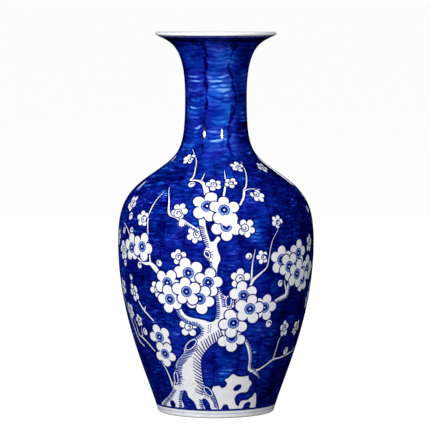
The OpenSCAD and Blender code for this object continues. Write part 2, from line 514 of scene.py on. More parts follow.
FRONT_TWIGS = [   # each knot has its own half width
    RIGHT_BRANCH, LEFT_BRANCH, LOW_BRANCH, TOP_BRANCH, LONG_BRANCH,
    [(-39, 250.5, 0.2), (-29, 243.5, 0.3), (-24, 237.5, 0.4), (-20.5, 227.5, 0.6), (-21.5, 223.5, 1.1)],
    [(-10.5, 230, 0.2), (-12, 223.5, 0.6)],
    [(8.5, 232, 0.2), (8, 224, 0.6), (7, 218.5, 0.8), (5, 209.5, 0.9)],
    [(33, 239, 0.2), (31, 231.5, 0.4), (27.5, 225.5, 0.5), (23.5, 219, 0.6), (20.5, 215, 1),
     (18.5, 209, 0.9), (15, 202, 0.8)],
    [(20.5, 214.5, 0.6), (25.5, 216, 0.4), (33, 215, 0.4)],
    [(-38.5, 213, 0.2), (-41, 207, 0.4), (-43, 198, 0.6), (-44, 189, 0.6), (-43, 176, 0.5),
     (-41.5, 159, 0.5), (-41, 148, 0.8)],
    [(23, 161.5, 0.2), (21.5, 150.5, 0.4), (21, 141, 0.7), (21, 130, 1)],
    [(39.5, 180.5, 0.2), (35, 171, 0.2), (33, 163, 0.3), (32, 154.5, 0.3), (30.5, 144.5, 0.5),
     (26.5, 139, 0.7), (22, 133, 1.2), (20.5, 127, 1.2)],
    [(-61, 131, 0.2), (-58.5, 122, 0.6), (-54.5, 109.5, 0.6), (-50.5, 102, 1), (-47, 97.5, 0.7),
     (-43, 92.5, 0.5)],
    [(-48.5, 106, 0.2), (-50, 101.5, 0.9)],
    [(-66, 92, 0.2), (-64, 86, 0.4), (-63, 77, 0.7), (-59, 74.5, 0.9), (-53.5, 69.5, 0.7), (-48, 63, 0.6)],
    [(-57.5, 85, 0.2), (-58.5, 76, 0.6)],
    [(-44, 53.5, 0.4), (-41.5, 48, 0.5), (-40, 43, 0.6), (-38.5, 34, 0.8), (-38, 26, 1.4)],
    [(28.5, 46, 1.1), (34, 46.5, 0.9), (40.5, 51, 0.8), (46, 55, 0.9), (54, 56, 0.7), (66.5, 58.5, 0.8),
     (74, 60, 0.5)],
    [(50, 81, 0.3), (47.5, 73.5, 0.4), (47, 66, 0.4), (46, 55.5, 0.6)],
    [(44, 131, 0.3), (45, 126, 0.6), (46.5, 121.5, 0.9)],
    [(-69.5, 182, 0.3), (-63.5, 177, 0.5), (-60, 171, 0.8)],
    [(-78, 112, 0.3), (-72.5, 96, 0.7), (-69, 84, 0.7), (-66, 72, 0.9), (-60, 66, 0.6)],
]
FRONT_SMALL = [   # angle, height, radius, turn, squeeze, lean, cup
    (-38, 241.5, 6.5, 178, 1.05, 0.35), (-1.5, 220, 7, 108, 1.15), (12, 221.5, 6, 60, 1.15),
    (24.5, 235, 6.5, 150, 1.1, 0.22), (29, 210, 7, -60, 1.1, 0.3), (60, 233.5, 6.5, 40, 1.1),
    (-22.5, 196.5, 8, 65, 1, 0.3, 0.58), (-48.5, 188, 7.5, 170, 1.1, 0.2), (-21.5, 154.5, 7.5, 95, 1),
    (-37, 123.5, 8, 120, 1), (27.5, 154, 6.5, 180, 1, 0.25), (38.5, 186, 6, 135, 1.1, 0.25),
    (50.5, 84.5, 6, 100, 1.4), (-58.5, 118, 6.5, 115, 1.35), (-65, 200.5, 7.5, 60, 1.1),
    (-75, 121, 7, 110, 1.2), (-68.5, 99, 7, 115, 1.2), (-58.5, 91, 5, 100, 1.2), (66, 83, 6.5, 60, 1.2),
    (70, 163, 6.5, 80, 1.3), (78, 108, 7, 100, 1.2), (-79, 168, 6.5, 70, 1.2),
]
FRONT_BUDS = [
    (-19, 220, 3.5, 80), (-34.5, 148, 3, 130), (-50, 144.5, 3, 95), (19, 155.5, 3, 20), (41, 128.5, 3, 100),
    (35.5, 91, 3.5, 60), (-54, 81, 3.5, 90), (59.5, 61.5, 4, 75), (-61.5, 189, 3.5, 95), (-68, 175, 3, 60),
    (-66.5, 144.5, 3, 90), (-60, 132, 2.5, 110), (-58, 176, 3, 110),
]
FRONT_CURLS = [   # larger flowers from behind; they lie under the open blossoms
    (14, 134.5, 9.5, 85), (-68.5, 156, 9, 100),
]
TOP_CURL = (18, 181, 8.5, -15, 1, 0.22)   # this one lies over the blossoms
UNDER_CURLS = [(-12, 175, 8, 205, 1, 0.25), (-17.5, 89, 9, 15)]   # and these under the wood
LOWERED_PETALS = [(6, 188.5, 5.5, 5, 0), (11, 190, 2, 5, 0)]   # they hang over the blossom below them
FRONT_BLOSSOMS = [   # angle, height, radius, turn: the first ones lie under the later ones
    (-57.5, 160, 13, 95), (-47.5, 162, 13, 68), (6, 183.5, 14, 198), (-5.5, 201.5, 14.5, 75),
    (5, 198, 14, 88), (-16, 140, 14, 107), (-29.5, 130, 13.5, 132), (-4.5, 131.5, 13.5, 79),
    (-28.5, 114.5, 13, 107), (-9.5, 116, 14, 60), (-17.5, 122.5, 13.5, 95), (16.5, 119, 13, 100),
    (31, 106.5, 13, 80), (10.5, 79, 13.5, 200), (11, 93, 14, 117), (21, 106, 14, 82),
    (-40.5, 77.5, 13, 110), (-38.5, 61.5, 12.5, 55), (68.5, 139, 12.5, 90), (56, 155, 13, 85),
    (41, 150.5, 13.5, 90), (47.5, 143.5, 13.5, 125), (63, 129.5, 12, 95), (55.5, 135.5, 13.5, 70),
]


def paint_front():
    for place in UNDER_CURLS:
        small_blossom(*place)
    for knots in FRONT_TWIGS:
        twig(knots)
    for branch, side in ((RIGHT_BRANCH, "right"), (LOW_BRANCH, "left"), (LONG_BRANCH[4:], "right")):
        shade(edge_of(branch, side), 1.9, (20, 20))
    blob(ROCK)
    blob(TREE)
    shade(TRUNK_LEFT, 8.2, (-28, -38))
    for edge, reach, leans in SHADED_EDGES:
        shade(edge, reach, leans)
    hatch(TRUNK_RIGHT, 9.5, 2.45, (18, 46), INK, 0.74)
    hatch(TRUNK_FOOT, 8, 2.4, (36, 25), INK, 0.72)
    hatch(UPPER_LIMB_LEFT, 4.4, 1.6, (35, 35), INK, 0.66)
    hatch(RIGHT_LIMB_RIGHT, 3.4, 1.7, (0, 0), INK, 0.72)
    bark_marks(-4.4, 84.5, 4)
    for place, strokes in zip(FRONT_KNOT_HOLES, KNOT_BRISTLES):
        bristles(*place, *strokes)
    for place in FRONT_KNOT_HOLES:
        knot_hole(*place)
    for angle, height, rx, ry, tilt in (ROCK_HOLE, ROOT_PIT):
        fill_at(Spot(angle, height), INK, ellipse(rx, ry, tilt))
        fill_at(Spot(angle, height), WASH, ellipse(rx - LINE, ry - LINE, tilt))
    for place in FRONT_CURLS + FRONT_SMALL:
        small_blossom(*place)
    for place in FRONT_BUDS:
        bud(*place)
    for place in FRONT_BLOSSOMS:
        blossom(*place)
    for angle, height, rx, ry, tilt in LOWERED_PETALS:
        fill_at(Spot(angle, height), WHITE, ellipse(rx, ry, tilt))
    small_blossom(*TOP_CURL)


# ---------------- what is painted: the sides and the back

BACK_TRUNK = [
    (-171, 7, 13), (-170, 20, 9.5), (-167, 34, 8.6), (-168.5, 50, 8), (-174, 64, 7.2), (-181, 77, 6.4),
    (-186, 92, 5.4), (-187, 108, 4.8), (-183, 124, 4.2),
]
BACK_LIMBS = [
    BACK_TRUNK,
    [(-183, 122, 4), (-180, 138, 3.6), (-181.5, 154, 3.2), (-178, 170, 2.9), (-174, 184, 2.4),
     (-175, 196, 2)],
    [(-175, 66, 5), (-168, 78, 4.2), (-158, 86, 3.4), (-148, 97, 2.8), (-143, 112, 2.2)],
    [(-186, 96, 4.4), (-193, 106, 3.2), (-203, 112, 2.4), (-209, 124, 1.8)],
    [(-168, 22, 6.5), (-160, 14, 4.6), (-153, 7, 3.4)],
    [(-174, 22, 6), (-181, 13, 4.8), (-186, 7, 4.2)],
]
BACK_KNOT_HOLES = [(-169.5, 40, 2.6, 5.8, 8), (-183.5, 84, 2.4, 5, 30)]
BACK_ROCK = [
    (-199, 8.8), (-198, 16), (-201, 22), (-198, 30), (-203, 36), (-208, 31), (-212, 34), (-217, 27),
    (-215, 19), (-221, 15), (-222, 8.8), (-214, 8.8), (-212, 15), (-207, 13), (-206, 8.8),
]
SIDE_TWIGS = [
    [(-175, 194, 1.6), (-179, 206, 1.1), (-178, 220, 0.7), (-172, 236, 0.3)],
    [(-174, 186, 1.2), (-166, 194, 0.9), (-161, 206, 0.6), (-162, 222, 0.3)],
    [(-181, 156, 1.4), (-191, 164, 1.1), (-197, 178, 0.8), (-196, 196, 0.5), (-201, 214, 0.2)],
    [(-143, 110, 1.8), (-136, 124, 1.2), (-137, 142, 0.8), (-131, 160, 0.3)],
    [(-148, 98, 1.4), (-134, 96, 1), (-121, 103, 0.7), (-113, 118, 0.3)],
    [(-162, 84, 1.4), (-151, 72, 1.1), (-138, 66, 0.8), (-124, 70, 0.5), (-112, 62, 0.3)],
    [(-209, 122, 1.4), (-214, 138, 0.9), (-211, 156, 0.5), (-215, 172, 0.2)],
    [(-203, 112, 1.2), (-213, 103, 0.8), (-219, 90, 0.4)],
    [(-104, 6, 1.6), (-103, 24, 1.5), (-98, 42, 1.1), (-100, 60, 0.8), (-95, 78, 0.4)],
    [(-98, 42, 0.9), (-90, 52, 0.6), (-86, 66, 0.3)],
    [(-125, 216, 0.3), (-119, 206, 0.8), (-108, 198, 1), (-98, 186, 0.9), (-92, 172, 0.6)],
    [(-119, 206, 0.8), (-121, 194, 0.7), (-117, 180, 0.4)],
    [(74, 60, 0.6), (84, 63, 0.9), (94, 56, 1.1), (101, 42, 1.4), (103, 24, 1.7), (106, 7, 2)],
    [(94, 57, 0.8), (99, 70, 0.7), (96, 84, 0.3)],
    [(72, 132, 1.2), (81, 142, 1.2), (91, 146, 1), (101, 158, 0.8), (104, 174, 0.5), (100, 190, 0.2)],
    [(91, 146, 0.8), (102, 140, 0.7), (111, 129, 0.4)],
    [(84, 240, 0.2), (89, 228, 0.6), (96, 216, 1), (107, 209, 0.8), (115, 198, 0.4)],
    [(88, 110, 0.5), (97, 104, 0.8), (104, 92, 0.4)],
]
BACK_BLOSSOMS = [
    (-183, 199, 13.6, 80), (-172, 196, 13.4, 100), (-175, 182, 13.8, 62), (-191, 144, 13.2, 100),
    (-201, 136, 13.4, 70), (-195, 126, 13.2, 92), (-206, 122, 12.8, 118), (-167, 136, 13.6, 85),
    (-155, 141, 13.2, 60), (-160, 124, 13.8, 100), (-148, 128, 13.2, 80), (-144, 96, 13, 70),
    (-155, 99, 13.4, 106), (-197, 90, 13, 80), (-192, 76, 12.8, 110), (-112, 148, 13.4, 80),
    (-121, 140, 13.2, 106), (-110, 134, 13.8, 92), (-121, 76, 13, 70), (-112, 66, 12.6, 100),
    (95, 128, 13.4, 80), (86, 121, 13, 104), (95, 112, 13.8, 64), (108, 186, 12.8, 90),
    (97, 180, 13.2, 112), (103, 68, 12.6, 85), (93, 66, 12.2, 60),
]
SIDE_SMALL = [
    (-171, 238, 6.8, 80), (-161, 224, 6.6, 100), (-186, 216, 6.8, 70), (-202, 215, 6.8, 110),
    (-204, 186, 7, 70), (-189, 180, 6.8, 120), (-163, 174, 7, 90), (-151, 188, 6.8, 70),
    (-130, 164, 7, 100), (-143, 152, 7, 60), (-128, 114, 7, 80), (-212, 152, 6.8, 90), (-217, 176, 6.6, 80),
    (-219, 92, 6.8, 120), (-139, 52, 6.8, 90), (-150, 58, 7, 60), (-94, 82, 6.6, 90), (-86, 70, 6.2, 60),
    (-117, 178, 6.8, 100), (-104, 180, 7, 80), (-133, 206, 7, 110), (-106, 212, 6.6, 70),
    (-92, 140, 6.6, 90), (-99, 108, 7, 70), (99, 86, 6.6, 90), (104, 210, 6.8, 80), (86, 206, 6.6, 100),
    (114, 150, 6.8, 60), (86, 180, 6.8, 90), (116, 196, 6.4, 110), (86, 82, 6.6, 70), (110, 108, 6.8, 90),
    (113, 128, 6.6, 120),
]
SIDE_BUDS = [
    (-148, 210, 3.4, 80), (-193, 198, 3.3, 100), (-137, 178, 3.4, 60), (-178, 222, 3.4, 90),
    (-108, 96, 3.3, 90), (-131, 84, 3.4, 60), (-209, 72, 3.4, 100), (-98, 158, 3.3, 90),
    (-89, 116, 3.2, 70), (84, 158, 3.3, 80), (110, 52, 3.4, 100), (76, 194, 3.3, 90), (118, 170, 3.3, 80),
    (88, 44, 3.3, 60),
]


def edge_of(limb, side):
    """One edge of a limb as angles and heights, with the wood on the right of its way."""
    left, right = sides(smooth_path(on_heights(limb)))
    edge = left if side == "left" else right[::-1]
    return [(a, float(at_length(OUTER[:, 1], s))) for a, s in edge]


def paint_back():
    for knots in SIDE_TWIGS:
        twig(knots)
    blob(BACK_ROCK)
    limbs(BACK_LIMBS)
    shade(edge_of(BACK_TRUNK, "left"), 5, (-28, -42))
    shade(edge_of(BACK_LIMBS[1], "left"), 2.6, (-10, -20))
    shade(edge_of(BACK_LIMBS[2], "right"), 2.8, (-10, -20))
    hatch(edge_of(BACK_TRUNK, "right"), 6.5, 2.1, (20, 50), INK, 0.7)
    for place in BACK_KNOT_HOLES:
        knot_hole(*place)
    for place in SIDE_SMALL:
        small_blossom(*place)
    for place in SIDE_BUDS:
        bud(*place)
    for place in BACK_BLOSSOMS:
        blossom(*place)


def level_line(paint, low, high):
    """A line right round the pot between two heights."""
    turns = [SEAM - 360 + TURN_STEP * i for i in range(TURNS + 1)]
    bottom = [(a, length_at(low)) for a in turns]
    top = [(a, length_at(high)) for a in turns]
    fill(paint, bottom + top[::-1])


paint_front()
paint_back()
level_line(INK, BAND_Z, BAND_Z + 2)
# The deep wash band right under the lip is darker wash, deepened as painted shade from the flared lip.
for paint, low, high in ((DEEP, 9, 5.2), (INK, 5.2, 4.2), (PALE, 4.2, 3.7), (INK, 3.7, 2.9), (WHITE, 2.9, 0)):
    level_line(paint, POT_H - low, POT_H - high)

# ---------------- cutting the sheet

ROW_STEP = 2.4       # millimetres between the rows of the sheet's grid, half that on the lip
NEAR = 4e-3          # points this near to each other, or to a line, are joined
NOTHING = 1e-6       # angles and lengths below this count as none
ON_END = 1e-4        # a point this near to a section's end lies on it
SHEET_SCALE = math.radians(1) * SHEET_R
JOINTS = [length_at(z) for z in (BAND_Z, BELLY_Z, NECK_Z, MOUTH_Z)] + [float(LENGTH[-1])]


def cut_sheet():
    """Cuts the unrolled outer face along every painted outline.

    Returns its points, and its triangles with the shape on top of each and the length at its middle."""
    points, edges = [], []

    def add(angle, length):
        points.append(Vector((angle * SHEET_SCALE, length)))
        return len(points) - 1
    for low, high in zip(JOINTS, JOINTS[1:]):
        rows = max(2, round((high - low) / (ROW_STEP if low < JOINTS[3] else ROW_STEP / 2)))
        for row in range(rows + 1):
            if row == rows and high != JOINTS[-1]:
                continue
            length = low + (high - low) * row / rows
            straight = row in (0, rows)
            level = [add(SEAM - 360 + TURN_STEP * (i + (0.5 if row % 2 and 0 < i < TURNS else 0)), length)
                     for i in range(TURNS + 1) if straight or not (row % 2 and i == TURNS - 1)]
            if straight:
                edges += list(zip(level, level[1:]))
    for side in (SEAM - 360, SEAM):
        column = sorted((p.y, i) for i, p in enumerate(points) if abs(p.x - side * SHEET_SCALE) < NOTHING)
        edges += [(a[1], b[1]) for a, b in zip(column, column[1:])]
    faces = [[add(a, s) for a, s in outline] for _, outline, _ in painted_shapes]
    found, _, triangles, _, _, origins = delaunay_2d_cdt(points, edges, faces, 0, NEAR)
    places = [(p.x / SHEET_SCALE, p.y) for p in found]
    kept = []
    for corners, origin in zip(triangles, origins):
        angle = sum(places[c][0] for c in corners) / 3
        length = sum(places[c][1] for c in corners) / 3
        if SEAM - 360 < angle < SEAM and JOINTS[0] < length < JOINTS[-1]:
            kept.append((corners, max(origin) if origin else None, length))
    return places, kept


painted_shapes = pools + shapes
sheet_points, sheet_triangles = cut_sheet()


def on_outline(lengths):
    """Radius, height and outward slope components of the outline at many lengths."""
    return (at_length(OUTER[:, 0], lengths), at_length(OUTER[:, 1], lengths),
            at_length(HEADING[:, 0], lengths), at_length(HEADING[:, 1], lengths))


sheet_angles = np.array([a for a, _ in sheet_points])
sheet_radii, sheet_heights, rise_out, rise_up = on_outline(np.array([s for _, s in sheet_points]))
wrapped_angles = np.where(np.abs(sheet_angles - SEAM) < NOTHING, SEAM - 360, sheet_angles)
sheet_places = [around(*v) for v in np.column_stack([sheet_radii, sheet_heights, wrapped_angles]).tolist()]
sheet_normals = [around(*v) for v in np.column_stack([rise_up, -rise_out, wrapped_angles]).tolist()]

# ---------------- the shells

RING = 192           # points round the faces that aren't painted


class Shell:
    """A closed turned section of the pot, gathered face by face."""

    def __init__(self, name):
        self.name, self.points, self.known = name, [], {}
        self.faces, self.paints, self.normals, self.locals = [], [], [], []

    def point(self, place):
        key = tuple(round(c, 3) for c in place)
        if key not in self.known:
            self.known[key] = len(self.points)
            self.points.append(place)
        return self.known[key]

    def face(self, places, normals, paint, local=None):
        corners = [self.point(p) for p in places]
        if len(set(corners)) < 3:
            return
        self.faces.append(corners)
        self.normals.append(normals)
        self.paints.append(paint)
        self.locals.append(local or [(0, 0)] * len(corners))

    def band(self, low, high, paint, low_normal, high_normal):
        """Quads between two rings of (radius, height), on the right of the way from low to high."""
        for i in range(RING):
            a, b = 360 * i / RING, 360 * (i + 1) / RING
            places = [around(*low, a), around(*low, b), around(*high, b), around(*high, a)]
            normals = [around(*low_normal, a), around(*low_normal, b), around(*high_normal, b),
                       around(*high_normal, a)]
            if low[0] < NOTHING:
                places, normals = places[1:], normals[1:]
            elif high[0] < NOTHING:
                places, normals = places[:3], normals[:3]
            self.face(places, normals, paint)

    def turned(self, outline, paint, smooth=True):
        """Bands along an outline of (radius, height), whose outward side is on the right of its way."""
        outline = [np.array(p, float) for p in outline]
        ways = [b - a for a, b in zip(outline, outline[1:])]
        flats = [np.array([w[1], -w[0]]) / np.linalg.norm(w) for w in ways]
        for i, flat in enumerate(flats):
            low = flats[max(i - 1, 0)] + flat if smooth else flat
            high = flats[min(i + 1, len(flats) - 1)] + flat if smooth else flat
            own = paint[i] if isinstance(paint, list) else paint
            self.band(outline[i], outline[i + 1], own, unit(*low), unit(*high))

    def zip_rings(self, low, high, normal, paint):
        """Triangles between two rings of (angle, place), on the right of the way from low to high."""
        low, high = sorted(low), sorted(high)
        low.append((low[0][0] + 360, low[0][1]))
        high.append((high[0][0] + 360, high[0][1]))
        i = k = 0
        while i < len(low) - 1 or k < len(high) - 1:
            step_low = k == len(high) - 1 or (i < len(low) - 1 and low[i + 1][0] <= high[k + 1][0])
            third = low[i + 1] if step_low else high[k + 1]
            corners = [low[i], third, high[k]]
            self.face([p for _, p in corners], [around(*normal, a) for a, _ in corners], paint)
            i, k = (i + 1, k) if step_low else (i, k + 1)

    def painted(self, low, high):
        """The sheet's triangles between two lengths, and the rings of points at its two ends."""
        ends = {low: {}, high: {}}
        for corners, shape, length in sheet_triangles:
            if not low < length < high:
                continue
            paint, _, spot = painted_shapes[shape] if shape is not None else (WASH, None, None)
            local = None
            if paint == STAMENS:
                local = [spot.local(*sheet_points[c]) for c in corners]
            self.face([sheet_places[c] for c in corners], [sheet_normals[c] for c in corners], paint, local)
            for end in ends:
                for c in corners:
                    if abs(sheet_points[c][1] - end) < ON_END:
                        ends[end][round(float(wrapped_angles[c]), 5)] = sheet_places[c]
        return [sorted(ends[end].items()) for end in (low, high)]

    def inside(self, start, end):
        """The inner face, from one height up to another, facing the axis. Returns its two ends."""
        low, high = length_at(start, INNER), length_at(end, INNER)
        rows = max(2, round((high - low) / 3))
        lengths = [low + (high - low) * i / rows for i in range(rows + 1)]
        outline = [(float(at_length(INNER[:, 0], s)), float(at_length(INNER[:, 1], s))) for s in lengths]
        self.turned(outline[::-1], WHITE)
        return outline[0], outline[-1]

    def make(self, node):
        mesh = bpy.data.meshes.new(self.name)
        mesh.from_pydata([Vector(p) * MM for p in self.points], [], self.faces)
        used = sorted(set(self.paints))
        for paint in used:
            mesh.materials.append(materials[paint])
        mesh.polygons.foreach_set("material_index", [used.index(p) for p in self.paints])
        mesh.polygons.foreach_set("use_smooth", [True] * len(self.faces))
        if STAMENS in used:
            local = mesh.attributes.new("flower", "FLOAT_VECTOR", "CORNER")
            local.data.foreach_set("vector", [v for f in self.locals for x, y in f for v in (x, y, 0)])
        mesh.normals_split_custom_set([n for f in self.normals for n in f])
        mesh.validate()
        made = bpy.data.objects.new(self.name, mesh)
        bpy.context.scene.collection.objects.link(made)
        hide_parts(node)
        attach(made, "root")


def ring(place):
    """A ring of points round the axis through (radius, height), as zip_rings wants it."""
    return [(360 * i / RING, around(*place, 360 * i / RING)) for i in range(RING)]


def unit(x, y):
    size = math.hypot(x, y)
    return x / size, y / size


def wrap(ends):
    """Ring points with their angles from 0 to 360."""
    return [(a % 360, p) for a, p in ends]


# ---------------- materials

def feed(tree, node, values):
    """Gives a node its first inputs: a Field is linked, and a number is set."""
    for slot, value in zip(node.inputs, values):
        if isinstance(value, Field):
            tree.links.new(value.socket, slot)
        else:
            slot.default_value = value


class Field:
    """A value in a material's node tree. Arithmetic on it adds Math nodes."""

    def __init__(self, tree, socket):
        self.tree, self.socket = tree, socket

    def math(self, operation, *others, clamp=False):
        node = self.tree.nodes.new("ShaderNodeMath")
        node.operation, node.use_clamp = operation, clamp
        feed(self.tree, node, (self, *others))
        return Field(self.tree, node.outputs[0])

    def __add__(self, other):
        return self.math("ADD", other)

    def __sub__(self, other):
        return self.math("SUBTRACT", other)

    def __mul__(self, other):
        return self.math("MULTIPLY", other)

    def __truediv__(self, other):
        return self.math("DIVIDE", other)

    def floor(self):
        return self.math("FLOOR")

    def abs(self):
        return self.math("ABSOLUTE")

    def power(self, other):
        return self.math("POWER", other)

    def clamped(self):
        return self.math("ADD", 0.0, clamp=True)

    def smooth(self, low, high, to_low=0, to_high=1):
        """A soft step: to_low where this is low, to_high where it is high."""
        node = self.tree.nodes.new("ShaderNodeMapRange")
        node.interpolation_type = "SMOOTHSTEP"
        feed(self.tree, node, (self, low, high, to_low, to_high))
        return Field(self.tree, node.outputs[0])


class Paint:
    """A material under construction, with the places and noises that the paints are made of."""

    def __init__(self, name):
        self.material = bpy.data.materials.new(name)
        self.material.use_nodes = True
        self.tree = self.material.node_tree
        self.shader = self.tree.nodes["Principled BSDF"]
        coordinates = self.tree.nodes.new("ShaderNodeTexCoord")
        self.place = self.in_mm(coordinates.outputs["Object"])
        split = self.tree.nodes.new("ShaderNodeSeparateXYZ")
        self.tree.links.new(self.place, split.inputs[0])
        self.x, self.y, self.z = (Field(self.tree, o) for o in split.outputs)

    def in_mm(self, socket):
        scale = self.tree.nodes.new("ShaderNodeVectorMath")
        scale.operation = "SCALE"
        scale.inputs["Scale"].default_value = 1 / MM
        self.tree.links.new(socket, scale.inputs[0])
        return scale.outputs[0]

    def noise(self, size, stretch=(1, 1, 1), detail=2, seed=0):
        """Smooth noise from 0 to 1, in lumps about size millimetres across, times stretch on X, Y and Z."""
        mapping = self.tree.nodes.new("ShaderNodeMapping")
        mapping.inputs["Scale"].default_value = [1 / (size * s) for s in stretch]
        mapping.inputs["Location"].default_value = (seed * 3.7, seed * 1.3, seed * 5.1)
        self.tree.links.new(self.place, mapping.inputs["Vector"])
        node = self.tree.nodes.new("ShaderNodeTexNoise")
        node.inputs["Scale"].default_value = 1
        node.inputs["Detail"].default_value = detail
        self.tree.links.new(mapping.outputs[0], node.inputs["Vector"])
        return Field(self.tree, node.outputs["Fac"])

    def scatter(self, column, row, seed=0):
        """A random value from 0 to 1 for each whole column and row."""
        join = self.tree.nodes.new("ShaderNodeCombineXYZ")
        feed(self.tree, join, (column, row, seed))
        node = self.tree.nodes.new("ShaderNodeTexWhiteNoise")
        node.noise_dimensions = "3D"
        self.tree.links.new(join.outputs[0], node.inputs["Vector"])
        return Field(self.tree, node.outputs["Value"])

    def ramp(self, value, stops):
        """Colours along a value: (position, (r, g, b)) stops."""
        node = self.tree.nodes.new("ShaderNodeValToRGB")
        node.color_ramp.interpolation = "EASE"
        elements = node.color_ramp.elements
        for extra in range(len(stops) - 2):
            elements.new(0.5)
        for element, (position, colour) in zip(elements, stops):
            element.position = position
            element.color = (*colour, 1)
        self.tree.links.new(value.socket, node.inputs[0])
        return node.outputs[0]

    def mix(self, share, first, second):
        """first where share is 0, second where it is 1. Each is a colour or a socket."""
        node = self.tree.nodes.new("ShaderNodeMix")
        node.data_type = "RGBA"
        self.tree.links.new(share.socket, node.inputs[0])
        for slot, colour in ((node.inputs[6], first), (node.inputs[7], second)):
            if isinstance(colour, tuple):
                slot.default_value = (*colour, 1)
            else:
                self.tree.links.new(colour, slot)
        return node.outputs[2]

    def bump(self, value, height, slots=("Normal", "Coat Normal")):
        node = self.tree.nodes.new("ShaderNodeBump")
        node.inputs["Distance"].default_value = height * MM
        self.tree.links.new(value.socket, node.inputs["Height"])
        for name in slots:
            self.tree.links.new(node.outputs[0], self.shader.inputs[name])

    def glaze(self, colour, roughness=0.3, coat=0.7):
        """Finishes the paint as colour under a clear, slightly wavy glaze."""
        self.tree.links.new(colour, self.shader.inputs["Base Color"])
        self.shader.inputs["Roughness"].default_value = roughness
        self.shader.inputs["Specular IOR Level"].default_value = 0
        self.shader.inputs["Coat Weight"].default_value = coat
        self.shader.inputs["Coat Roughness"].default_value = 0.065
        self.shader.inputs["Coat IOR"].default_value = 1.5
        waves = self.noise(26, detail=1, seed=3) * 0.9 + self.noise(7, detail=1, seed=4) * 0.1
        self.bump(waves, 0.25, ("Coat Normal",))
        return self.material


def turn_of(paint):
    """The place round the pot, in whole turns from -0.5 to 0.5."""
    return paint.x.math("ARCTAN2", paint.y * -1) / math.tau


def brushed(paint, columns, pitch, seed, shift=0):
    """Cobalt laid on in stacks of short bowed strokes, one stack beside the other.

    Returns the strokes' tone, their light streaks, the dark seams between the stacks and each stack's own
    depth, all from 0 to 1."""
    sway = (paint.noise(42, (1, 1, 1.6), 1, seed) - 0.5) * 0.9
    sway += (paint.noise(8, (1, 1, 1.5), 2, seed + 1) - 0.5) * 0.3
    across = turn_of(paint) * columns + sway + shift
    column = across.floor()
    off = across - column - 0.5
    column = column.math("FLOORED_MODULO", columns)
    tilt = paint.scatter(column, 0, seed) - 0.5
    wobble = (paint.noise(12, (1.6, 1.6, 0.7), 2, seed + 2) - 0.5) * 1.7
    climb = paint.z / pitch - off * off * 1.7 + off * tilt * 1.5 + wobble + paint.scatter(column, 1, seed) * 7
    row = climb.floor()
    up = climb - row
    shade = paint.scatter(column, row, seed + 1)
    ridge = up.smooth(0, 0.5) - up.smooth(0.7, 1)
    middle = (paint.scatter(column, row, seed + 2) - 0.5) * 0.3
    near = (off - middle).abs().smooth(0.3, 0.05)
    run = paint.noise(20, (1, 1, 1), 1, seed + 5)
    light = near * ridge.power(2.5) * shade.power(1.4) * run.smooth(0.42, 0.6)
    seam = (off.abs() + (paint.noise(4, (1, 1, 1.6), 3, seed + 3) - 0.5) * 0.3).smooth(0.41, 0.5)
    tone = ridge * (shade * 0.6 + 0.4)
    return tone, light, seam, paint.scatter(column, 2, seed + 4)


def cobalt(paint, darkness):
    """The brushed ground: on the neck in wide stacks with bright streaks, on the body more level."""
    neck_tone, neck_light, neck_seam, neck_depth = brushed(paint, 7, 4.3, 11, 0.41)
    body_tone, body_light, body_seam, body_depth = brushed(paint, 22, 4.6, 31)
    share = (paint.z + (paint.noise(20, seed=8) - 0.5) * 18).smooth(232, 256)
    streaks = paint.noise(1, (9, 9, 1.7), 3, 5) - 0.5
    dashes = paint.noise(1, (7, 7, 1.5), 1, 9).smooth(0.54, 0.74)
    patches = paint.noise(24, (1, 1, 0.8), 2, 6) - 0.5
    clouds = paint.noise(10, (1.2, 1.2, 0.8), 3, 12) - 0.5
    broad = paint.noise(1, (13, 13, 2.6), 1, 21).smooth(0.52, 0.7)
    lit = paint.noise(28, (1, 1, 1.2), 1, 7).smooth(0.42, 0.62)
    turn = turn_of(paint)
    # Painted shade: the cobalt is darkened on the pot's right side, and a little on its left, so that the
    # front looks brightest.
    painted_shade_right = turn.smooth(0.06, 0.14) - turn.smooth(0.32, 0.42)
    left = turn.smooth(-0.04, -0.08) - turn.smooth(-0.25, -0.35)
    # Painted light: a brighter patch on the body's left, from about the belly upwards, with lighter dashes
    # and patches in it.
    painted_light_left = (turn.smooth(-0.22, -0.17) - turn.smooth(-0.11, -0.05)) * paint.z.smooth(140, 165)
    layer = paint.z / 26 + (paint.noise(30, seed=14) - 0.5) * 1.2
    overlap = (layer - layer.floor() - 0.5).abs().smooth(0.14, 0.02)
    # The neck's last term darkens its top as painted shade under the flared lip.
    neck = (neck_tone * 0.18 + neck_light * 0.62 - neck_seam * 0.45 + streaks * 0.45 + patches * 0.8
            + clouds * 0.5 - overlap * 0.14 - painted_shade_right * 0.3 - left * 0.12 + neck_depth * 0.1 + 0.54
            - paint.z.smooth(340, 356) * 0.12)
    body = (body_tone * 0.12 + body_light * 0.2 - body_seam * 0.15 + streaks * 0.75 + patches * 0.5
            + clouds * 0.5 + dashes * (lit * 0.38 + painted_light_left * 0.15) + broad * painted_light_left * 0.32 + lit * 0.06
            - painted_shade_right * 0.22 - left * 0.05 + body_depth * 0.12 + 0.25)
    value = (body + (neck - body) * share - darkness).clamped()
    cool = paint.ramp(value, [
        (0.0, (0.0002, 0.0006, 0.02)), (0.25, (0.0004, 0.004, 0.12)), (0.5, (0.0015, 0.020, 0.27)),
        (0.75, (0.008, 0.085, 0.48)), (1.0, (0.15, 0.33, 0.76))])
    violet = paint.ramp(value, [
        (0.0, (0.0006, 0.0004, 0.02)), (0.25, (0.0010, 0.002, 0.11)), (0.5, (0.004, 0.013, 0.26)),
        (0.75, (0.020, 0.062, 0.44)), (1.0, (0.16, 0.29, 0.73))])
    return paint.mix(paint.noise(17, detail=1, seed=16).smooth(0.38, 0.6), cool, violet)


